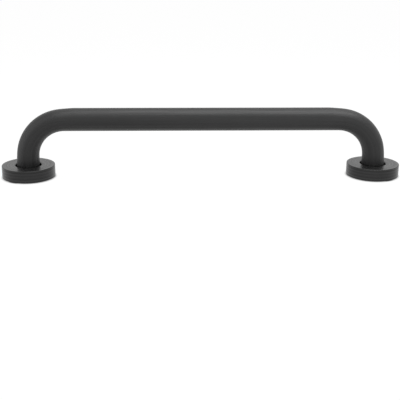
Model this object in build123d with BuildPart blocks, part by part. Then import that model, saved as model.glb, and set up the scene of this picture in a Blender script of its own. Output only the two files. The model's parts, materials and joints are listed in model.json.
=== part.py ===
from build123d import *
import os

# Straight grab bar for a shower or bath, in millimetres. A bent steel tube is welded into a
# round flange at each end, and a drawn cover that is loose on the tube hides each flange.
# Z 0 is the wall, +Z points away from the wall and X runs along the rail. The origin lies on
# the wall, midway between the two legs.

# Rail tube
TUBE_DIAMETER = 32.0
TUBE_WALL = 1.2
FIXING_CENTRES = 490.0  # between the axes of the two legs
STRAIGHT_LEG = 29.0  # from the wall to the start of the bend
BEND_RADIUS = 53.0  # to the centre line of the tube
BEND_PULL_IN = 1.2  # how far bending draws in the outside of the bend
BEND_SPREAD = 0.4  # how far it pushes out each side
BEND_LEAD = 15.0  # how far this change of section reaches into the straights
BEND_RAMP = 22.5  # length over which it builds up, from the start of a lead
BEND_STATIONS = 17  # sections that shape a bend with its leads, both ends included

# Mounting flanges and their welds
FLANGE_THICKNESS = 3.0
FLANGE_CHAMFER = 0.5
TUBE_SEAT_CLEARANCE = 0.1
WELD_LEG = 3.0
SCREW_COUNT = 3
SCREW_HOLE_DIAMETER = 6.5
SCREW_TO_WELD = 4.75  # plate left between the weld and a screw hole
SCREW_TO_RIM = 4.45  # plate left between a screw hole and the rim
LUG_WIDTH = 12.0
LUG_REACH = 1.2  # how far a lug stands out of the rim to grip the cover

# Covers
GRIP_CLEARANCE = 0.3
COVER_SHEET = 0.8
COVER_HEIGHT = 17.5  # from the wall to the top face
COVER_STANDOFF = 0.8  # the rim stops short of the wall, so that the flange alone bears on it
LIP_CLEARANCE = 2.2  # around the tube, so that the cover slides along the leg
LIP_INSIDE = 0.4  # inside radius where the top face turns down into the lip
LIP_STRAIGHT = 1.5

# Worked out from the sizes above, from the tube outwards
TUBE_RADIUS = TUBE_DIAMETER / 2
BORE_RADIUS = TUBE_RADIUS - TUBE_WALL
LEG_X = FIXING_CENTRES / 2
RAIL_HEIGHT = STRAIGHT_LEG + BEND_RADIUS
RAIL_ROUND = FIXING_CENTRES - 2 * (BEND_RADIUS + BEND_LEAD)  # the rail between the leads

SCREW_HOLE_RADIUS = SCREW_HOLE_DIAMETER / 2
SCREW_CIRCLE_RADIUS = TUBE_RADIUS + WELD_LEG + SCREW_TO_WELD + SCREW_HOLE_RADIUS
FLANGE_RADIUS = SCREW_CIRCLE_RADIUS + SCREW_HOLE_RADIUS + SCREW_TO_RIM
LUG_RADIUS = FLANGE_RADIUS + LUG_REACH

COVER_RADIUS = LUG_RADIUS + GRIP_CLEARANCE + COVER_SHEET
LIP_RADIUS = TUBE_RADIUS + LIP_CLEARANCE
LIP_OUTSIDE = LIP_INSIDE + COVER_SHEET
LIP_END = COVER_HEIGHT - LIP_OUTSIDE - LIP_STRAIGHT

SIDES = {"left": -1, "right": 1}


def bend_route(side):
    """The centre line of a bend, with a lead in the leg below it and one in the rail beside it."""
    with BuildLine(Plane.XZ) as route:
        leg_lead = Line((side * LEG_X, STRAIGHT_LEG - BEND_LEAD), (side * LEG_X, STRAIGHT_LEG))
        bend = JernArc(start=leg_lead @ 1, tangent=leg_lead % 1, radius=BEND_RADIUS, arc_size=side * 90)
        Line(bend @ 1, bend @ 1 - (side * BEND_LEAD, 0))
    return route.wire()


def bent_share(from_lead):
    """How much of the bend's change of section is there, at a distance from the start of a lead."""
    ramp = min(from_lead / BEND_RAMP, 1)
    return ramp**2 * (3 - 2 * ramp)


def bent_rod(radius):
    """A rod along the whole route of the tube, its outside drawn in around each bend."""
    with BuildPart() as rod:
        with BuildSketch(Plane.XY):
            with Locations((-LEG_X, 0), (LEG_X, 0)):
                Circle(radius)
        extrude(amount=STRAIGHT_LEG - BEND_LEAD)

        with BuildSketch(Plane.YZ.offset(-RAIL_ROUND / 2)):
            with Locations((0, RAIL_HEIGHT)):
                Circle(radius)
        extrude(amount=RAIL_ROUND)

        for side in SIDES.values():
            route = bend_route(side)
            for station in range(BEND_STATIONS):
                share = station / (BEND_STATIONS - 1)
                bent = bent_share(min(share, 1 - share) * route.length)
                pull_in = BEND_PULL_IN * bent
                across = Plane(origin=route @ share, x_dir=(0, 1, 0), z_dir=route % share)
                with BuildSketch(across):
                    with Locations((0, side * pull_in / 2)):
                        Ellipse(radius + BEND_SPREAD * bent, radius - pull_in / 2)
            sweep(path=route, multisection=True)
    return rod.part


def leg_section(side):
    """The upright plane through a leg, with its X measured outwards from the leg's axis."""
    return Plane(origin=(side * LEG_X, 0, 0), x_dir=(1, 0, 0), z_dir=(0, -1, 0))


def leg_axis(side):
    return Axis((side * LEG_X, 0, 0), (0, 0, 1))


def mounting_flange(side):
    """A plate that the tube seats in, with lugs between its screw holes to grip the cover."""
    first_hole = 0 if side > 0 else 180  # one hole faces away from the rail
    first_lug = first_hole + 180 / SCREW_COUNT
    with BuildPart() as flange:
        with BuildSketch(Plane(origin=(side * LEG_X, 0, 0))):
            Circle(FLANGE_RADIUS)
            with PolarLocations(0, SCREW_COUNT, start_angle=first_lug):
                Rectangle(LUG_RADIUS, LUG_WIDTH, align=(Align.MIN, Align.CENTER))
            Circle(LUG_RADIUS, mode=Mode.INTERSECT)
        extrude(amount=FLANGE_THICKNESS)
        chamfer(flange.faces().sort_by(Axis.Z)[-1].outer_wire().edges(), FLANGE_CHAMFER)

        with BuildSketch(Plane(origin=(side * LEG_X, 0, 0))):
            Circle(TUBE_RADIUS + TUBE_SEAT_CLEARANCE)
            with PolarLocations(SCREW_CIRCLE_RADIUS, SCREW_COUNT, start_angle=first_hole):
                Circle(SCREW_HOLE_RADIUS)
        extrude(amount=FLANGE_THICKNESS, mode=Mode.SUBTRACT)
    return flange.part


def weld_bead(side):
    """A ring of weld in the corner between the tube and the flange."""
    root = (TUBE_RADIUS, FLANGE_THICKNESS)
    toe = (TUBE_RADIUS + WELD_LEG, FLANGE_THICKNESS)
    head = (TUBE_RADIUS, FLANGE_THICKNESS + WELD_LEG)
    with BuildPart() as bead:
        with BuildSketch(leg_section(side)):
            with BuildLine():
                Polyline(root, toe, head, close=True)
            make_face()
        revolve(axis=leg_axis(side))
    return bead.part


def drawn_cover(side):
    """A round cap of even sheet, sharp inside its top edge, with a turned-down lip at its hole."""
    with BuildPart() as cover:
        with BuildSketch(leg_section(side)):
            with BuildLine():
                FilletPolyline(
                    (LIP_RADIUS, LIP_END),
                    (LIP_RADIUS, COVER_HEIGHT),
                    (COVER_RADIUS, COVER_HEIGHT),
                    (COVER_RADIUS, COVER_STANDOFF),
                    radius=[LIP_OUTSIDE, COVER_SHEET],
                )
                offset(amount=COVER_SHEET, side=Side.RIGHT)
            make_face()
        revolve(axis=leg_axis(side))
    return cover.part


os.makedirs("parts", exist_ok=True)

outside = bent_rod(TUBE_RADIUS)
bore = bent_rod(BORE_RADIUS)
with BuildPart() as rail_tube:
    add(outside)
    add(bore, mode=Mode.SUBTRACT)
rail_tube.part.label = "rail_tube"
export_step(rail_tube.part, "parts/rail_tube.step")

for name, side in SIDES.items():
    pieces = {
        "mounting_flange": mounting_flange(side),
        "weld_bead": weld_bead(side),
        "cover": drawn_cover(side),
    }
    for kind, piece in pieces.items():
        piece.label = f"{kind}_{name}"
        export_step(piece, f"parts/{piece.label}.step")
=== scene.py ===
import json
import math

import bmesh
import bpy
import numpy as np
from bpy.props import FloatProperty, FloatVectorProperty, IntProperty, PointerProperty
from mathutils import Matrix, Vector


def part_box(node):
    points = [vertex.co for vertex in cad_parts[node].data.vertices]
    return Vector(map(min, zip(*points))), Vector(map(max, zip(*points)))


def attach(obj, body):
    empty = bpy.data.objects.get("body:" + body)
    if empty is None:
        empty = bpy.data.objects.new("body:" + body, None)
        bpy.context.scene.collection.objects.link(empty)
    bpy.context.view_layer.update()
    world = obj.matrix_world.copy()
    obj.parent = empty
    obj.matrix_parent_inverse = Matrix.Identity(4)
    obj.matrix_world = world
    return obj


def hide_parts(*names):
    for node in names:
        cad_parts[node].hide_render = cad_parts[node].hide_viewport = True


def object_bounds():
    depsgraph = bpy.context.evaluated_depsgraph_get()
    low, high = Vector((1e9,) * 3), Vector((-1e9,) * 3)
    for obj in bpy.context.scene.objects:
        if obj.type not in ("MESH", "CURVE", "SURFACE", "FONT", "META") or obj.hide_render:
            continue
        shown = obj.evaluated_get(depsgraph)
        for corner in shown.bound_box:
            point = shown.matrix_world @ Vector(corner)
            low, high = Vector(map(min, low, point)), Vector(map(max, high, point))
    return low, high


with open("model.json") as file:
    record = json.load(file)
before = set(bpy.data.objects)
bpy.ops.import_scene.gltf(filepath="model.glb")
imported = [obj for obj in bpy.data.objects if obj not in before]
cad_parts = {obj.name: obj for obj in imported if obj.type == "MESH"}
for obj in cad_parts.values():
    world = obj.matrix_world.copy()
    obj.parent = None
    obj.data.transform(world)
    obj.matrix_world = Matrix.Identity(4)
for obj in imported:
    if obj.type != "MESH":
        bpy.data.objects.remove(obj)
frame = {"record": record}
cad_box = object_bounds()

bl_info = {
    "name": "Grab Bar",
    "version": (1, 0, 0),
    "blender": (4, 5, 0),
    "location": "View3D > Sidebar > Grab Bar",
    "description": "Builds a matt black grab bar: a bent tube, welded flanges and loose covers",
    "category": "Add Mesh",
}

# Everything is in metres. Z 0 is the wall, +Z points away from it and X runs along the rail.
SIDES = {"left": -1, "right": 1}
MM_PER_METRE = 1000

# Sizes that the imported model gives
_, tube_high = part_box("rail_tube")
cover_low, cover_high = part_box("cover_right")
flange_low, flange_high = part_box("mounting_flange_right")
bead_low, bead_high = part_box("weld_bead_right")
LEG_X = (cover_low.x + cover_high.x) / 2
SCREW_PATTERN = next(m["dims"] for m in frame["record"]["mounts"] if m["kind"] == "bolt_pattern")

# How the meshes are divided and shaded
MERGE_DISTANCE = 1e-7  # points nearer than this become one
SHARP_ANGLE = math.radians(40)  # faces that meet at more than this keep a hard edge
TRIM_STEPS = 6  # in each trimmed edge of a cover
SHEET_STEPS = 10  # in the top edge of a cover, and inside the bend of its lip
LIP_STEPS = 12  # outside the bend of its lip
LUG_STEPS = 8  # along the end of a flange's lug
RIM_STEPS = 48  # along a flange's rim between two lugs
SEAT_POINTS = 128  # around the hole that the tube seats in
SCREW_HOLE_POINTS = 64  # around each screw hole
PLATE_EDGE_RESOLUTION = 3  # of the rounded edges of a flange
RIPPLE_POINTS = 12  # along the weld in each ripple
SLOPE_POINTS = 13  # across the face of the weld

# Shape of the weld's ripples
RIPPLE_CURVE = 0.35  # how far the two ends of a ripple trail its middle, in ripples
RIPPLE_DROP = 6  # the higher this is, the more sudden the drop at the end of a ripple

# Noise in the coats. Blender's noise runs from 0 to 1, with almost all of its values between these two.
NOISE_LOW = 0.3
NOISE_HIGH = 0.7
PLAIN_DETAIL = 2.0  # noise detail of the orange peel and the broad streaks
FINE_DETAIL = 3.0  # noise detail of the clouds and the fine lines
BROAD_SHARE = 0.2  # broad streaks for each fine line

# The studio
WHITE = (1, 1, 1, 1)
FLOOR_DROP = 0.0001  # the floor lies this far below the bar, so that no two faces share a place


class RailTubeSettings(bpy.types.PropertyGroup):
    """Sizes of the bent tube."""

    leg_spacing: FloatProperty(
        name="Leg spacing",
        description="Distance between the axes of the two legs",
        default=2 * LEG_X,
        unit="LENGTH",
    )
    diameter: FloatProperty(
        name="Tube diameter",
        description="Outside diameter of the tube",
        default=2 * (tube_high.x - LEG_X),
        unit="LENGTH",
    )
    wall: FloatProperty(
        name="Wall",
        description="Thickness of the tube's wall",
        default=0.0012,
        unit="LENGTH",
    )
    straight_leg: FloatProperty(
        name="Straight leg",
        description="Length of each leg from the wall to the start of its bend",
        default=0.029,
        unit="LENGTH",
    )
    bend_radius: FloatProperty(
        name="Bend radius",
        description="Radius of each bend, to the centre line of the tube",
        default=0.053,
        unit="LENGTH",
    )
    bend_pull_in: FloatProperty(
        name="Bend pull-in",
        description="How far bending draws in the outside of each bend",
        default=0.0012,
        unit="LENGTH",
    )
    bend_spread: FloatProperty(
        name="Bend spread",
        description="How far bending pushes out each side of a bend",
        default=0.0004,
        unit="LENGTH",
    )
    bend_lead: FloatProperty(
        name="Bend lead",
        description="How far the bend's change of section reaches into the straights",
        default=0.015,
        unit="LENGTH",
    )
    bend_ramp: FloatProperty(
        name="Bend ramp",
        description="Length over which the change of section builds up, from the start of a lead",
        default=0.0225,
        unit="LENGTH",
    )
    deburring: FloatProperty(
        name="Deburring",
        description="Size of the broken edges at the two cut ends",
        default=0.0002,
        unit="LENGTH",
    )
    around: IntProperty(
        name="Points around",
        description="Points around the tube in each ring of its mesh",
        default=128,
        min=16,
    )
    bend_rings: IntProperty(
        name="Rings in a bend",
        description="Steps that each bend is divided into",
        default=48,
        min=8,
    )
    lead_rings: IntProperty(
        name="Rings in a lead",
        description="Steps that each lead beside a bend is divided into",
        default=10,
        min=2,
    )


class FlangeSettings(bpy.types.PropertyGroup):
    """Sizes of the mounting flanges."""

    radius: FloatProperty(
        name="Radius",
        description="Radius of the round plate",
        default=flange_high.y,
        unit="LENGTH",
    )
    lug_radius: FloatProperty(
        name="Lug radius",
        description="Radius to the ends of the lugs that grip the cover",
        default=LEG_X - flange_low.x,
        unit="LENGTH",
    )
    lug_width: FloatProperty(
        name="Lug width",
        description="Width of each lug",
        default=0.012,
        unit="LENGTH",
    )
    thickness: FloatProperty(
        name="Thickness",
        description="Thickness of the plate",
        default=flange_high.z,
        unit="LENGTH",
    )
    seat_clearance: FloatProperty(
        name="Seat clearance",
        description="Gap between the tube and the hole that it seats in",
        default=0.0001,
        unit="LENGTH",
    )
    screw_count: IntProperty(
        name="Screw holes",
        description="Number of screw holes, with a lug between each two",
        default=SCREW_PATTERN["count"],
        min=2,
    )
    screw_circle: FloatProperty(
        name="Screw circle",
        description="Diameter of the circle that the screw holes lie on",
        default=SCREW_PATTERN["pcd_mm"] / MM_PER_METRE,
        unit="LENGTH",
    )
    hole_radius: FloatProperty(
        name="Hole radius",
        description="Radius of each screw hole",
        default=SCREW_PATTERN["hole_r_mm"] / MM_PER_METRE,
        unit="LENGTH",
    )
    edge: FloatProperty(
        name="Edge",
        description="Radius of the tumbled edges of the plate",
        default=0.0004,
        unit="LENGTH",
    )


class WeldSettings(bpy.types.PropertyGroup):
    """Sizes of the weld between tube and flange."""

    leg: FloatProperty(
        name="Leg",
        description="Height and width of the weld",
        default=bead_high.z - bead_low.z,
        unit="LENGTH",
    )
    ripples: IntProperty(
        name="Ripples",
        description="Number of ripples around the weld",
        default=44,
        min=8,
    )
    ripple_height: FloatProperty(
        name="Ripple height",
        description="Height of each ripple",
        default=0.00022,
        unit="LENGTH",
    )
    bulge: FloatProperty(
        name="Bulge",
        description="How far the face of the weld stands out of its straight slope",
        default=0.0003,
        unit="LENGTH",
    )


class CoverSettings(bpy.types.PropertyGroup):
    """Sizes of the loose covers."""

    radius: FloatProperty(
        name="Radius",
        description="Outside radius of the cover",
        default=(cover_high.x - cover_low.x) / 2,
        unit="LENGTH",
    )
    top: FloatProperty(
        name="Top",
        description="Height of the top face above the wall",
        default=cover_high.z,
        unit="LENGTH",
    )
    rim: FloatProperty(
        name="Rim",
        description="Gap between the rim and the wall",
        default=cover_low.z,
        unit="LENGTH",
    )
    sheet: FloatProperty(
        name="Sheet",
        description="Thickness of the sheet, and radius of the top edge",
        default=0.0008,
        unit="LENGTH",
    )
    lip_clearance: FloatProperty(
        name="Lip clearance",
        description="Gap between the lip of the hole and the tube",
        default=0.0022,
        unit="LENGTH",
    )
    lip_inside: FloatProperty(
        name="Lip inside radius",
        description="Inside radius where the top face turns down into the lip",
        default=0.0004,
        unit="LENGTH",
    )
    lip_straight: FloatProperty(
        name="Lip straight",
        description="Straight length of the lip below its bend",
        default=0.0015,
        unit="LENGTH",
    )
    edge: FloatProperty(
        name="Edge",
        description="Radius of the trimmed edges of the sheet",
        default=0.0002,
        unit="LENGTH",
    )
    around: IntProperty(
        name="Points around",
        description="Points around the cover in each ring of its mesh",
        default=192,
        min=24,
    )


class FinishSettings(bpy.types.PropertyGroup):
    """Colours and surface of the black coats."""

    rail_colour: FloatVectorProperty(
        name="Rail colour",
        description="Colour of the matt coat on the tube",
        default=(0.009, 0.009, 0.0092),
        subtype="COLOR",
        min=0,
        max=1,
    )
    cover_colour: FloatVectorProperty(
        name="Cover colour",
        description="Colour of the coat over the spun covers",
        default=(0.009, 0.009, 0.0092),
        subtype="COLOR",
        min=0,
        max=1,
    )
    flange_colour: FloatVectorProperty(
        name="Flange colour",
        description="Colour of the coat on the flanges and the welds",
        default=(0.008, 0.008, 0.0082),
        subtype="COLOR",
        min=0,
        max=1,
    )
    rail_roughness: FloatProperty(
        name="Rail roughness",
        description="How matt the coat on the tube is",
        default=0.47,
        subtype="FACTOR",
        min=0,
        max=1,
    )
    cover_roughness: FloatProperty(
        name="Cover roughness",
        description="How matt the coat on the covers is",
        default=0.33,
        subtype="FACTOR",
        min=0,
        max=1,
    )
    flange_roughness: FloatProperty(
        name="Flange roughness",
        description="How matt the coat on the flanges and the welds is",
        default=0.55,
        subtype="FACTOR",
        min=0,
        max=1,
    )
    rail_gloss: FloatProperty(
        name="Rail gloss",
        description="Reflection of the coat on tube, flanges and welds, where 0.5 is that of lacquer",
        default=0.43,
        subtype="FACTOR",
        min=0,
        max=1,
    )
    cover_gloss: FloatProperty(
        name="Cover gloss",
        description="Reflection of the coat on the covers, where 0.5 is that of lacquer",
        default=0.27,
        subtype="FACTOR",
        min=0,
        max=1,
    )
    rail_sheen: FloatProperty(
        name="Rail sheen",
        description="Most gloss that the broad streaks add on tube, flanges and welds",
        default=0.08,
        subtype="FACTOR",
        min=0,
        max=1,
    )
    cover_sheen: FloatProperty(
        name="Cover sheen",
        description="Most gloss that the broad rings add on the covers",
        default=0.45,
        subtype="FACTOR",
        min=0,
        max=1,
    )
    peel_size: FloatProperty(
        name="Peel size",
        description="Size of the bumps of the orange peel in the coat",
        default=0.0011,
        unit="LENGTH",
    )
    peel_depth: FloatProperty(
        name="Peel depth",
        description="Depth of the orange peel in the coat",
        default=0.00002,
        unit="LENGTH",
    )
    cloud_size: FloatProperty(
        name="Cloud size",
        description="Size of the faint clouds in the coat",
        default=0.022,
        unit="LENGTH",
    )
    cloud_share: FloatProperty(
        name="Cloud share",
        description="Share of the clouds in the coat's change of tint, the rest being streaks",
        default=0.15,
        subtype="FACTOR",
        min=0,
        max=1,
    )
    tint_spread: FloatProperty(
        name="Tint spread",
        description="How far the coat's colour goes either way, as a share of itself",
        default=0.9,
        subtype="FACTOR",
        min=0,
        max=1,
    )
    roughness_spread: FloatProperty(
        name="Roughness spread",
        description="How far the polishing lines change the roughness either way",
        default=0.1,
        subtype="FACTOR",
        min=0,
        max=1,
    )
    rail_lines: FloatVectorProperty(
        name="Rail lines",
        description="Lines per metre, counted along the tube and in the two directions across it",
        default=(12.0, 900.0, 900.0),
    )
    cover_lines: FloatVectorProperty(
        name="Cover lines",
        description="Lines per metre, counted across the spun sheet and in the two directions around it",
        default=(2300.0, 10.0, 10.0),
    )
    flange_lines: FloatVectorProperty(
        name="Flange lines",
        description="Lines per metre that rolling leaves in the plate, counted in X, Y and Z",
        default=(700.0, 20.0, 20.0),
    )
    line_depth: FloatProperty(
        name="Line depth",
        description="Depth of the fine lines that show through the coat",
        default=0.00001,
        unit="LENGTH",
    )
    rail_wave_depth: FloatProperty(
        name="Rail wave depth",
        description="Depth of the broad streaks that polishing leaves along the tube",
        default=0.00001,
        unit="LENGTH",
    )
    cover_wave_depth: FloatProperty(
        name="Cover wave depth",
        description="Depth of the broad rings that spinning leaves in the covers",
        default=0.0001,
        unit="LENGTH",
    )


class StageSettings(bpy.types.PropertyGroup):
    """Camera, floor and light."""

    camera_target: FloatVectorProperty(
        name="Camera target",
        description="Point that the camera looks at, below the bar, which so stands high in the picture",
        default=(-0.00248, 0.0, -0.0371),
        subtype="TRANSLATION",
        unit="LENGTH",
    )
    camera_azimuth: FloatProperty(
        name="Camera azimuth",
        description="Angle of the camera round the bar, 0 looking along +Y",
        default=math.radians(-2.444),
        subtype="ANGLE",
    )
    camera_elevation: FloatProperty(
        name="Camera elevation",
        description="Angle of the camera above the horizon",
        default=math.radians(18.503),
        subtype="ANGLE",
    )
    camera_roll: FloatProperty(
        name="Camera roll",
        description="Tilt of the picture",
        default=math.radians(0.407),
        subtype="ANGLE",
    )
    camera_distance: FloatProperty(
        name="Camera distance",
        description="Distance of the camera from its target",
        default=1.1928,
        unit="LENGTH",
    )
    camera_lens: FloatProperty(
        name="Lens",
        description="Focal length of the camera",
        default=74.378,
        unit="CAMERA",
    )
    overhead_place: FloatVectorProperty(
        name="Overhead place",
        description="Middle of the softbox above the bar",
        default=(0.18, -0.03, 1.0),
        subtype="TRANSLATION",
        unit="LENGTH",
    )
    overhead_size: FloatVectorProperty(
        name="Overhead size",
        description="Width and depth of the softbox above the bar",
        size=2,
        default=(0.8, 1.25),
        unit="LENGTH",
    )
    overhead_power: FloatProperty(
        name="Overhead power",
        description="Power of the softbox above the bar",
        default=9.7,
        unit="POWER",
    )
    front_place: FloatVectorProperty(
        name="Front place",
        description="Middle of the softbox in front of the bar",
        default=(0.0, -1.2, 0.2),
        subtype="TRANSLATION",
        unit="LENGTH",
    )
    front_size: FloatVectorProperty(
        name="Front size",
        description="Width and height of the softbox in front of the bar",
        size=2,
        default=(0.95, 0.45),
        unit="LENGTH",
    )
    front_power: FloatProperty(
        name="Front power",
        description="Power of the softbox in front of the bar",
        default=1.05,
        unit="POWER",
    )
    side_place: FloatVectorProperty(
        name="Side place",
        description="Middle of the softbox beside the left end of the bar",
        default=(-0.9, -0.1, 0.3),
        subtype="TRANSLATION",
        unit="LENGTH",
    )
    side_size: FloatVectorProperty(
        name="Side size",
        description="Width and height of the softbox beside the left end of the bar",
        size=2,
        default=(0.45, 0.95),
        unit="LENGTH",
    )
    side_power: FloatProperty(
        name="Side power",
        description="Power of the softbox beside the left end of the bar",
        default=0.6,
        unit="POWER",
    )
    room_light: FloatProperty(
        name="Room light",
        description="Even light from all around",
        default=0.35,
    )
    floor_colour: FloatVectorProperty(
        name="Floor colour",
        description="Colour of the pale floor",
        default=(0.8, 0.8, 0.8),
        subtype="COLOR",
        min=0,
        max=1,
    )
    floor_white: FloatProperty(
        name="Floor white",
        description="Share of plain white in what the camera sees of the floor, the rest being lit paint",
        default=0.92,
        subtype="FACTOR",
        min=0,
        max=1,
    )
    white_strength: FloatProperty(
        name="White strength",
        description="Strength of that white, which with the lit paint comes to plain white",
        default=1.05,
    )
    floor_shine: FloatProperty(
        name="Floor shine",
        description="The same share where a glossy surface or glass shows the floor",
        default=0.9,
        subtype="FACTOR",
        min=0,
        max=1,
    )
    shade_reach: FloatProperty(
        name="Shade reach",
        description="How near the bar has to be to the floor to shade its white",
        default=0.003,
        unit="LENGTH",
    )
    floor_size: FloatProperty(
        name="Floor size",
        description="Width of the floor",
        default=40.0,
        unit="LENGTH",
    )


class GrabBarSettings(bpy.types.PropertyGroup):
    """All settings of the grab bar."""

    tube: PointerProperty(
        type=RailTubeSettings,
        name="Tube",
        description="Sizes of the bent tube",
    )
    flange: PointerProperty(
        type=FlangeSettings,
        name="Flanges",
        description="Sizes of the mounting flanges",
    )
    weld: PointerProperty(
        type=WeldSettings,
        name="Welds",
        description="Sizes of the welds",
    )
    cover: PointerProperty(
        type=CoverSettings,
        name="Covers",
        description="Sizes of the loose covers",
    )
    finish: PointerProperty(
        type=FinishSettings,
        name="Finish",
        description="Colours and surface of the black coats",
    )
    stage: PointerProperty(
        type=StageSettings,
        name="Stage",
        description="Camera, floor and light",
    )


# Meshes


def add_piece(name, mesh, node, body, material):
    """Shows the mesh as a piece that stands for a CAD node and moves with its body."""
    mesh.materials.append(material)
    piece = bpy.data.objects.new(name, mesh)
    bpy.context.scene.collection.objects.link(piece)
    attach(piece, body)
    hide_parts(node)


def set_lay(mesh, lay):
    """Keeps each point's place in the finish's pattern, so that its lines follow the piece."""
    layer = mesh.attributes.new("lay", "FLOAT_VECTOR", "POINT")
    layer.data.foreach_set("vector", np.asarray(lay, dtype=np.float32).ravel())


def finish_mesh(mesh):
    """Turns the faces outwards and shades them smooth, apart from real corners."""
    form = bmesh.new()
    form.from_mesh(mesh)
    bmesh.ops.remove_doubles(form, verts=form.verts, dist=MERGE_DISTANCE)
    bmesh.ops.recalc_face_normals(form, faces=form.faces)
    form.to_mesh(mesh)
    form.free()
    mesh.shade_smooth()
    mesh.set_sharp_from_angle(angle=SHARP_ANGLE)


def skin_of_rings(name, rings, lay):
    """A closed skin over rings of points, where the last ring joins the first."""
    count, around, _ = rings.shape
    here = np.arange(count * around).reshape(count, around)
    next_point = np.roll(here, -1, axis=1)
    next_ring = np.roll(here, -1, axis=0)
    next_both = np.roll(next_point, -1, axis=0)
    faces = np.stack([here, next_point, next_both, next_ring], axis=-1).reshape(-1, 4)

    mesh = bpy.data.meshes.new(name)
    mesh.from_pydata(rings.reshape(-1, 3).tolist(), [], faces.tolist())
    set_lay(mesh, lay)
    finish_mesh(mesh)
    return mesh


def unit_circle(count):
    """Cosines and sines of angles evenly spaced around a circle."""
    angles = np.linspace(0, 2 * math.pi, count, endpoint=False)
    return np.cos(angles), np.sin(angles)


def arc(centre, radius, start, end, steps):
    """Points of an arc about a centre, from one angle in degrees to another."""
    angles = np.radians(np.linspace(start, end, steps + 1))
    return np.stack([centre[0] + radius * np.cos(angles), centre[1] + radius * np.sin(angles)], axis=1)


# Finishes


def add_node(tree, kind, inputs=None, **settings):
    """Adds a node, with its inputs set to values or joined to other nodes' outputs."""
    node = tree.nodes.new(kind)
    for key, value in settings.items():
        setattr(node, key, value)
    for socket, value in (inputs or {}).items():
        if isinstance(value, bpy.types.NodeSocket):
            tree.links.new(value, node.inputs[socket])
        else:
            node.inputs[socket].default_value = value
    return node


def add_math(tree, operation, *values):
    """Adds a step of arithmetic, and gives its result."""
    return add_node(tree, "ShaderNodeMath", dict(enumerate(values)), operation=operation).outputs[0]


def add_noise(tree, place, scale, detail):
    """Adds a noise, and gives its value."""
    inputs = {"Vector": place, "Scale": scale, "Detail": detail}
    return add_node(tree, "ShaderNodeTexNoise", inputs).outputs["Fac"]


def spread_noise(tree, noise, low, high):
    """Spreads a noise between two values, and gives the result."""
    inputs = {
        "Value": noise,
        "From Min": NOISE_LOW,
        "From Max": NOISE_HIGH,
        "To Min": low,
        "To Max": high,
    }
    return add_node(tree, "ShaderNodeMapRange", inputs).outputs["Result"]


def empty_tree(owner):
    """The node tree of a new material or world, without the nodes that it starts with."""
    owner.use_nodes = True
    owner.node_tree.nodes.clear()
    return owner.node_tree


def new_group(name, inputs, outputs):
    """A shader node group with named sockets, and its two end nodes."""
    tree = bpy.data.node_groups.new(name, "ShaderNodeTree")
    for socket, kind in inputs.items():
        tree.interface.new_socket(name=socket, in_out="INPUT", socket_type=kind)
    for socket, kind in outputs.items():
        tree.interface.new_socket(name=socket, in_out="OUTPUT", socket_type=kind)
    return tree, tree.nodes.new("NodeGroupInput"), tree.nodes.new("NodeGroupOutput")


def coat_grain_group():
    """Orange peel and faint clouds of a sprayed coat."""
    if "Coat grain" in bpy.data.node_groups:
        return bpy.data.node_groups["Coat grain"]
    tree, given, result = new_group(
        "Coat grain",
        {
            "Vector": "NodeSocketVector",
            "Peel per metre": "NodeSocketFloat",
            "Clouds per metre": "NodeSocketFloat",
        },
        {"Peel": "NodeSocketFloat", "Clouds": "NodeSocketFloat"},
    )
    place = given.outputs["Vector"]
    peel = add_noise(tree, place, given.outputs["Peel per metre"], PLAIN_DETAIL)
    clouds = add_noise(tree, place, given.outputs["Clouds per metre"], FINE_DETAIL)
    tree.links.new(peel, result.inputs["Peel"])
    tree.links.new(clouds, result.inputs["Clouds"])
    return tree


def polish_lines_group():
    """Fine lines and broad streaks left by polishing, which follow the lay of a piece."""
    if "Polish lines" in bpy.data.node_groups:
        return bpy.data.node_groups["Polish lines"]
    tree, given, result = new_group(
        "Polish lines",
        {"Lay": "NodeSocketVector", "Lines per metre": "NodeSocketVector"},
        {"Fine": "NodeSocketFloat", "Broad": "NodeSocketFloat"},
    )
    counted = add_node(
        tree,
        "ShaderNodeVectorMath",
        {0: given.outputs["Lay"], 1: given.outputs["Lines per metre"]},
        operation="MULTIPLY",
    ).outputs["Vector"]
    tree.links.new(add_noise(tree, counted, 1.0, FINE_DETAIL), result.inputs["Fine"])
    tree.links.new(add_noise(tree, counted, BROAD_SHARE, PLAIN_DETAIL), result.inputs["Broad"])
    return tree


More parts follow.
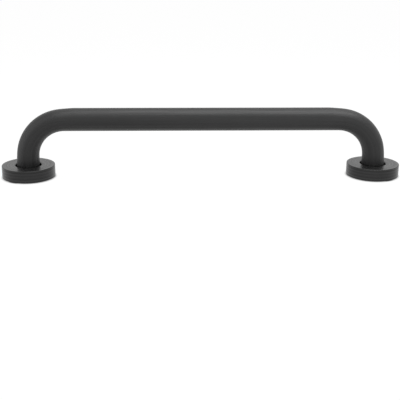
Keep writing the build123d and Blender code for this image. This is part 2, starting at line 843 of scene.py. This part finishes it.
def black_coat(name, finish, colour, roughness, gloss, sheen, lines_per_metre, wave_depth):
    """A matt black coat over metal, with orange peel, faint clouds and polishing lines."""
    material = bpy.data.materials.new(name)
    tree = empty_tree(material)
    place = add_node(tree, "ShaderNodeTexCoord")
    grain = add_node(
        tree,
        "ShaderNodeGroup",
        {
            "Vector": place.outputs["Object"],
            "Peel per metre": 1 / finish.peel_size,
            "Clouds per metre": 1 / finish.cloud_size,
        },
        node_tree=coat_grain_group(),
    )
    lay = add_node(tree, "ShaderNodeAttribute", attribute_name="lay")
    lines = add_node(
        tree,
        "ShaderNodeGroup",
        {"Lay": lay.outputs["Vector"], "Lines per metre": lines_per_metre},
        node_tree=polish_lines_group(),
    )
    fine = lines.outputs["Fine"]
    broad = lines.outputs["Broad"]

    # a mix of two numbers has its share in socket 0 and the numbers in sockets 2 and 3
    clouds = grain.outputs["Clouds"]
    shade = add_node(tree, "ShaderNodeMix", {0: finish.cloud_share, 2: broad, 3: clouds})
    tint = add_node(tree, "ShaderNodeValToRGB", {"Fac": spread_noise(tree, shade.outputs[0], 0, 1)})
    for element, way in zip(tint.color_ramp.elements, (-1, 1)):
        element.color = (*[channel * (1 + way * finish.tint_spread) for channel in colour], 1)

    spread = finish.roughness_spread
    shader = add_node(
        tree,
        "ShaderNodeBsdfPrincipled",
        {
            "Base Color": tint.outputs["Color"],
            "Roughness": spread_noise(tree, fine, roughness - spread, roughness + spread),
            "Specular IOR Level": gloss,
            "Coat Weight": spread_noise(tree, broad, 0, sheen),
            "Coat Roughness": roughness,
        },
    )

    # the orange peel lies over the fine lines, and those over the broad waves
    surface = shader.inputs["Normal"]
    for depth, height in (
        (finish.peel_depth, grain.outputs["Peel"]),
        (finish.line_depth, fine),
        (wave_depth, broad),
    ):
        bump = add_node(tree, "ShaderNodeBump", {"Distance": depth, "Height": height})
        tree.links.new(bump.outputs["Normal"], surface)
        surface = bump.inputs["Normal"]
    add_node(tree, "ShaderNodeOutputMaterial", {"Surface": shader.outputs["BSDF"]})
    return material


def rail_coat(finish):
    """Matt coat whose lines run along the tube."""
    return black_coat(
        "rail_coat_matt",
        finish,
        colour=finish.rail_colour,
        roughness=finish.rail_roughness,
        gloss=finish.rail_gloss,
        sheen=finish.rail_sheen,
        lines_per_metre=finish.rail_lines,
        wave_depth=finish.rail_wave_depth,
    )


def cover_coat(finish):
    """Coat over a spun sheet, whose lines run round the leg."""
    return black_coat(
        "cover_coat_spun",
        finish,
        colour=finish.cover_colour,
        roughness=finish.cover_roughness,
        gloss=finish.cover_gloss,
        sheen=finish.cover_sheen,
        lines_per_metre=finish.cover_lines,
        wave_depth=finish.cover_wave_depth,
    )


def welded_coat(name, finish):
    """Coat over the flanges and the welds, whose lines run across the bar."""
    return black_coat(
        name,
        finish,
        colour=finish.flange_colour,
        roughness=finish.flange_roughness,
        gloss=finish.rail_gloss,
        sheen=finish.rail_sheen,
        lines_per_metre=finish.flange_lines,
        wave_depth=finish.line_depth,
    )


# Rail tube


def tube_route(tube):
    """Stations along the tube's centre line from the left end to the right.

    Each has its place in X and Z, the angle of the direction that points out of its bend, how much
    of the bend's change of section is there, and its distance along the tube.
    """
    bend_x = tube.leg_spacing / 2 - tube.bend_radius
    bend_start = tube.straight_leg
    bend_end = bend_start + tube.bend_radius * math.pi / 2
    lead_start = bend_start - tube.bend_lead
    lead_end = bend_end + tube.bend_lead
    along = np.concatenate(
        [
            [0.0, tube.deburring],
            np.linspace(lead_start, bend_start, tube.lead_rings, endpoint=False),
            np.linspace(bend_start, bend_end, tube.bend_rings, endpoint=False),
            np.linspace(bend_end, lead_end, tube.lead_rings + 1),
        ]
    )
    turn = np.clip((along - bend_start) / tube.bend_radius, 0, math.pi / 2)
    x = np.clip(along - bend_end, 0, None) - bend_x - tube.bend_radius * np.cos(turn)
    z = np.minimum(along, bend_start) + tube.bend_radius * np.sin(turn)
    ramp = np.clip(np.minimum(along - lead_start, lead_end - along) / tube.bend_ramp, 0, 1)
    bent = ramp**2 * (3 - 2 * ramp)
    left = np.stack([x, z, math.pi - turn, bent, along], axis=1)
    # the right half mirrors the left one, and its distances go on to the tube's whole length
    right = left[::-1] * (-1, 1, -1, 1, -1) + (0, 0, math.pi, 0, 2 * (bend_end + bend_x))
    return np.concatenate([left, right])


def tube_rings(tube, route, radius):
    """Rings of the tube at one radius, its outside drawn in around each bend, and their lay."""
    x, z, facing, bent, along = route.T[:, :, None]
    cos, sin = unit_circle(tube.around)
    pull_in = tube.bend_pull_in * bent
    out = (radius - pull_in / 2) * cos - pull_in / 2
    across = (radius + tube.bend_spread * bent) * sin
    rings = np.stack([x + out * np.cos(facing), across, z + out * np.sin(facing)], axis=-1)
    lay = np.stack(np.broadcast_arrays(along, radius * cos, radius * sin), axis=-1)
    return rings, lay


class GRABBAR_OT_rail_tube(bpy.types.Operator):
    """Builds the bent tube with its bore and its two cut ends"""

    bl_idname = "grabbar.rail_tube"
    bl_label = "Rail Tube"

    def execute(self, context):
        settings = context.scene.grab_bar
        tube = settings.tube
        route = tube_route(tube)
        outside = tube.diameter / 2
        inside = outside - tube.wall
        edge = np.zeros((len(route), 1))
        edge[[0, -1]] = tube.deburring
        outer_rings, outer_lay = tube_rings(tube, route, outside - edge)
        inner_rings, inner_lay = tube_rings(tube, route[::-1], inside + edge)
        mesh = skin_of_rings(
            "bent_tube",
            np.concatenate([outer_rings, inner_rings]),
            np.concatenate([outer_lay, inner_lay]),
        )
        add_piece("bent_tube", mesh, "rail_tube", "bar", rail_coat(settings.finish))
        return {"FINISHED"}


# Mounting flanges


def first_hole(side):
    """Angle of a flange's first screw hole in degrees, which faces away from the rail."""
    return 0 if side > 0 else 180


def flange_outline(flange, side):
    """The plate's outline about its own centre, with a lug between each two screw holes."""
    pitch = 360 / flange.screw_count
    root = math.degrees(math.asin(flange.lug_width / 2 / flange.radius))
    tip = math.degrees(math.asin(flange.lug_width / 2 / flange.lug_radius))
    points = []
    for hole in range(flange.screw_count):
        lug = first_hole(side) + (hole + 0.5) * pitch
        points.extend(arc((0, 0), flange.lug_radius, lug - tip, lug + tip, LUG_STEPS))
        points.extend(arc((0, 0), flange.radius, lug + root, lug + pitch - root, RIM_STEPS))
    return points


def round_hole(radius, count, centre=(0, 0)):
    """Outline of a round hole."""
    cos, sin = unit_circle(count)
    return np.stack([centre[0] + radius * cos, centre[1] + radius * sin], axis=1)


def screw_holes(flange, side):
    """Outlines of the screw holes, evenly spaced on their circle."""
    reach = flange.screw_circle / 2
    outlines = []
    for hole in range(flange.screw_count):
        angle = math.radians(first_hole(side) + 360 * hole / flange.screw_count)
        centre = (reach * math.cos(angle), reach * math.sin(angle))
        outlines.append(round_hole(flange.hole_radius, SCREW_HOLE_POINTS, centre))
    return outlines


def plate_mesh(name, outlines, centre_x, thickness, edge):
    """A flat plate with holes and rounded edges, standing on the wall."""
    curve = bpy.data.curves.new(name, "CURVE")
    curve.dimensions = "2D"
    curve.fill_mode = "BOTH"
    curve.extrude = thickness / 2 - edge
    curve.bevel_depth = edge
    curve.bevel_resolution = PLATE_EDGE_RESOLUTION
    curve.offset = -edge
    for outline in outlines:
        spline = curve.splines.new("POLY")
        spline.points.add(len(outline) - 1)
        for point, (x, y) in zip(spline.points, outline):
            point.co = (x, y, 0, 1)
        spline.use_cyclic_u = True
    blank = bpy.data.objects.new(name, curve)
    mesh = bpy.data.meshes.new_from_object(blank)
    bpy.data.objects.remove(blank)
    bpy.data.curves.remove(curve)
    mesh.name = name
    mesh.transform(Matrix.Translation((centre_x, 0, thickness / 2)))
    finish_mesh(mesh)
    set_lay(mesh, [vertex.co for vertex in mesh.vertices])
    return mesh


class GRABBAR_OT_mounting_flanges(bpy.types.Operator):
    """Builds the two plates that the tube seats in, with screw holes and lugs"""

    bl_idname = "grabbar.mounting_flanges"
    bl_label = "Mounting Flanges"

    def execute(self, context):
        settings = context.scene.grab_bar
        flange = settings.flange
        material = welded_coat("flange_coat_rolled", settings.finish)
        leg_x = settings.tube.leg_spacing / 2
        seat = round_hole(settings.tube.diameter / 2 + flange.seat_clearance, SEAT_POINTS)
        for name, side in SIDES.items():
            piece_name = f"drilled_flange_{name}"
            outlines = [flange_outline(flange, side), seat, *screw_holes(flange, side)]
            mesh = plate_mesh(piece_name, outlines, side * leg_x, flange.thickness, flange.edge)
            add_piece(piece_name, mesh, f"mounting_flange_{name}", "bar", material)
        return {"FINISHED"}


# Welds


def bead_mesh(name, weld, tube_radius, foot, centre_x):
    """A ring of weld in the corner between tube and flange, with a rippled face."""
    around = weld.ripples * RIPPLE_POINTS
    turn = np.linspace(0, 2 * math.pi, around, endpoint=False)
    slope = np.linspace(0, 1, SLOPE_POINTS)[:, None]
    # each ripple rises slowly and drops at its end, and is curved like a thumbnail
    crescent = RIPPLE_CURVE * (2 * slope - 1) ** 2
    phase = (turn * weld.ripples / (2 * math.pi) + crescent) % 1.0
    ripple = weld.ripple_height * (phase - phase**RIPPLE_DROP)
    # the face slopes at 45 degrees, so it swells as far outwards as upwards
    swell = (weld.bulge + ripple) * np.sin(math.pi * slope) * math.sqrt(0.5)
    radius = np.vstack([tube_radius + weld.leg * (1 - slope) + swell, np.full(around, tube_radius)])
    height = np.vstack([foot + weld.leg * slope + swell, np.full(around, foot)])
    rings = np.stack([centre_x + radius * np.cos(turn), radius * np.sin(turn), height], axis=-1)
    return skin_of_rings(name, rings, rings)


class GRABBAR_OT_weld_beads(bpy.types.Operator):
    """Builds the two rippled welds between tube and flanges"""

    bl_idname = "grabbar.weld_beads"
    bl_label = "Weld Beads"

    def execute(self, context):
        settings = context.scene.grab_bar
        leg_x = settings.tube.leg_spacing / 2
        tube_radius = settings.tube.diameter / 2
        foot = settings.flange.thickness
        material = welded_coat("weld_coat_rippled", settings.finish)
        for name, side in SIDES.items():
            piece_name = f"rippled_weld_{name}"
            mesh = bead_mesh(piece_name, settings.weld, tube_radius, foot, side * leg_x)
            add_piece(piece_name, mesh, f"weld_bead_{name}", "bar", material)
        return {"FINISHED"}


# Covers


def cover_section(cover, tube_radius):
    """The cover's section as (radius, height) points: the outside, the lip, then the inside."""
    sheet, edge, top, rim = cover.sheet, cover.edge, cover.top, cover.rim
    wall = cover.radius - sheet
    lip = tube_radius + cover.lip_clearance
    lip_outside = cover.lip_inside + sheet
    lip_end = top - lip_outside - cover.lip_straight
    turn_down = (lip + lip_outside, top - lip_outside)
    corners = [
        arc((cover.radius - edge, rim + edge), edge, -90, 0, TRIM_STEPS),
        arc((wall, top - sheet), sheet, 0, 90, SHEET_STEPS),
        arc(turn_down, lip_outside, 90, 180, LIP_STEPS),
        arc((lip + edge, lip_end + edge), edge, 180, 270, TRIM_STEPS),
        arc((lip + sheet - edge, lip_end + edge), edge, 270, 360, TRIM_STEPS),
        arc(turn_down, cover.lip_inside, 180, 90, SHEET_STEPS),
        arc((wall - edge, top - sheet - edge), edge, 90, 0, TRIM_STEPS),
        arc((wall + edge, rim + edge), edge, 180, 270, TRIM_STEPS),
    ]
    section = []
    for corner, following in zip(corners, corners[1:] + corners[:1]):
        section.extend(corner)
        run = following[0] - corner[-1]
        length = np.linalg.norm(run)
        # a point close to each end of a straight run keeps its shading flat
        margin = min(edge, length / 3)
        section.append(corner[-1] + run * margin / length)
        section.append(following[0] - run * margin / length)
    return np.array(section)


def lathe(name, section, centre_x, around):
    """Turns a closed section of (radius, height) points about a leg."""
    cos, sin = unit_circle(around)
    radius, height = section.T[:, :, None]
    rings = np.stack(np.broadcast_arrays(centre_x + radius * cos, radius * sin, height), axis=-1)
    steps = np.linalg.norm(np.diff(section, axis=0, prepend=section[:1]), axis=1)
    across = np.cumsum(steps)[:, None]
    reach = radius.max()
    lay = np.stack(np.broadcast_arrays(across, reach * cos, reach * sin), axis=-1)
    return skin_of_rings(name, rings, lay)


class GRABBAR_OT_covers(bpy.types.Operator):
    """Builds the two loose covers that slide on the legs"""

    bl_idname = "grabbar.covers"
    bl_label = "Covers"

    def execute(self, context):
        settings = context.scene.grab_bar
        leg_x = settings.tube.leg_spacing / 2
        section = cover_section(settings.cover, settings.tube.diameter / 2)
        material = cover_coat(settings.finish)
        for name, side in SIDES.items():
            piece_name = f"spun_cover_{name}"
            mesh = lathe(piece_name, section, side * leg_x, settings.cover.around)
            add_piece(piece_name, mesh, f"cover_{name}", f"cover_{name}", material)
        return {"FINISHED"}


# Stage


def ray_kinds(tree):
    """Two masks: rays from the camera, and rays off a glossy surface or through glass."""
    rays = add_node(tree, "ShaderNodeLightPath").outputs
    mirrored = add_math(tree, "MAXIMUM", rays["Is Glossy Ray"], rays["Is Transmission Ray"])
    return rays["Is Camera Ray"], mirrored


def floor_paint(stage):
    """Pale paint that shows as white to the camera and in gloss, shaded close to the bar."""
    material = bpy.data.materials.new("pale_floor")
    tree = empty_tree(material)
    camera, mirrored = ray_kinds(tree)
    shown = add_math(tree, "MULTIPLY", mirrored, stage.floor_shine)
    share = add_math(tree, "MULTIPLY_ADD", camera, stage.floor_white, shown)
    shade = add_node(tree, "ShaderNodeAmbientOcclusion", {"Distance": stage.shade_reach})
    white = add_node(
        tree,
        "ShaderNodeEmission",
        {"Color": shade.outputs["Color"], "Strength": stage.white_strength},
    )
    paint = add_node(tree, "ShaderNodeBsdfDiffuse", {"Color": (*stage.floor_colour, 1)})
    look = add_node(tree, "ShaderNodeMixShader", {0: share, 1: paint.outputs[0], 2: white.outputs[0]})
    add_node(tree, "ShaderNodeOutputMaterial", {"Surface": look.outputs[0]})
    return material


def add_floor(scene, stage):
    """A wide flat floor just below the bar."""
    half = stage.floor_size / 2
    mesh = bpy.data.meshes.new("studio_floor")
    corners = [(-half, -half, 0), (half, -half, 0), (half, half, 0), (-half, half, 0)]
    mesh.from_pydata(corners, [], [(0, 1, 2, 3)])
    mesh.materials.append(floor_paint(stage))
    floor = bpy.data.objects.new("studio_floor", mesh)
    floor.location.z = cad_box[0].z - FLOOR_DROP
    scene.collection.objects.link(floor)


def set_room(scene, stage):
    """A room that shows as white to the camera and in gloss, and lights the bar evenly."""
    world = bpy.data.worlds.new("studio_room")
    tree = empty_tree(world)
    shown = add_math(tree, "MAXIMUM", *ray_kinds(tree))
    light = add_node(tree, "ShaderNodeBackground", {"Color": WHITE, "Strength": stage.room_light})
    white = add_node(tree, "ShaderNodeBackground", {"Color": WHITE, "Strength": 1.0})
    look = add_node(tree, "ShaderNodeMixShader", {0: shown, 1: light.outputs[0], 2: white.outputs[0]})
    add_node(tree, "ShaderNodeOutputWorld", {"Surface": look.outputs[0]})
    scene.world = world


def add_softbox(scene, name, place, size, power):
    """A wide lamp that faces the origin and isn't seen itself."""
    light = bpy.data.lights.new(name, "AREA")
    light.shape = "RECTANGLE"
    light.size, light.size_y = size
    light.energy = power
    lamp = bpy.data.objects.new(name, light)
    lamp.location = place
    lamp.rotation_euler = Vector(place).to_track_quat("Z", "Y").to_euler()
    lamp.visible_camera = False
    scene.collection.objects.link(lamp)


def add_camera(scene, stage):
    """The camera, placed round its target by its angles and its distance."""
    azimuth, elevation = stage.camera_azimuth, stage.camera_elevation
    right = Vector((math.cos(azimuth), math.sin(azimuth), 0))
    back = Vector(
        (
            math.sin(azimuth) * math.cos(elevation),
            -math.cos(azimuth) * math.cos(elevation),
            math.sin(elevation),
        )
    )
    up = back.cross(right)
    turn = Matrix((right, up, back)).transposed() @ Matrix.Rotation(stage.camera_roll, 3, "Z")
    place = Vector(stage.camera_target) + back * stage.camera_distance
    data = bpy.data.cameras.new("photo_camera")
    data.lens = stage.camera_lens
    camera = bpy.data.objects.new("photo_camera", data)
    camera.matrix_world = Matrix.Translation(place) @ turn.to_4x4()
    scene.collection.objects.link(camera)
    scene.camera = camera


class GRABBAR_OT_stage(bpy.types.Operator):
    """Builds the pale floor, the studio light and the camera"""

    bl_idname = "grabbar.stage"
    bl_label = "Stage"

    def execute(self, context):
        scene = context.scene
        stage = scene.grab_bar.stage
        add_floor(scene, stage)
        set_room(scene, stage)
        for name, place, size, power in (
            ("overhead_softbox", stage.overhead_place, stage.overhead_size, stage.overhead_power),
            ("front_softbox", stage.front_place, stage.front_size, stage.front_power),
            ("side_softbox", stage.side_place, stage.side_size, stage.side_power),
        ):
            add_softbox(scene, name, place, size, power)
        add_camera(scene, stage)
        scene.view_settings.view_transform = "Standard"
        return {"FINISHED"}


# Sidebar and registration


class GRABBAR_PT_sidebar(bpy.types.Panel):
    """Lists the pieces of the grab bar and their settings"""

    bl_idname = "GRABBAR_PT_sidebar"
    bl_label = "Grab Bar"
    bl_space_type = "VIEW_3D"
    bl_region_type = "UI"
    bl_category = "Grab Bar"

    def draw(self, context):
        settings = context.scene.grab_bar
        for operator, group in (
            (GRABBAR_OT_rail_tube, settings.tube),
            (GRABBAR_OT_mounting_flanges, settings.flange),
            (GRABBAR_OT_weld_beads, settings.weld),
            (GRABBAR_OT_covers, settings.cover),
            (GRABBAR_OT_stage, settings.stage),
            (None, settings.finish),
        ):
            box = self.layout.box()
            if operator:
                box.operator(operator.bl_idname)
            for key in group.__annotations__:
                box.prop(group, key)


CLASSES = (
    RailTubeSettings,
    FlangeSettings,
    WeldSettings,
    CoverSettings,
    FinishSettings,
    StageSettings,
    GrabBarSettings,
    GRABBAR_OT_rail_tube,
    GRABBAR_OT_mounting_flanges,
    GRABBAR_OT_weld_beads,
    GRABBAR_OT_covers,
    GRABBAR_OT_stage,
    GRABBAR_PT_sidebar,
)


def register():
    for item in CLASSES:
        bpy.utils.register_class(item)
    bpy.types.Scene.grab_bar = PointerProperty(type=GrabBarSettings)


def unregister():
    del bpy.types.Scene.grab_bar
    for item in reversed(CLASSES):
        bpy.utils.unregister_class(item)


def main():
    register()
    bpy.ops.grabbar.rail_tube()
    bpy.ops.grabbar.mounting_flanges()
    bpy.ops.grabbar.weld_beads()
    bpy.ops.grabbar.covers()
    bpy.ops.grabbar.stage()


if __name__ == "__main__":
    main()
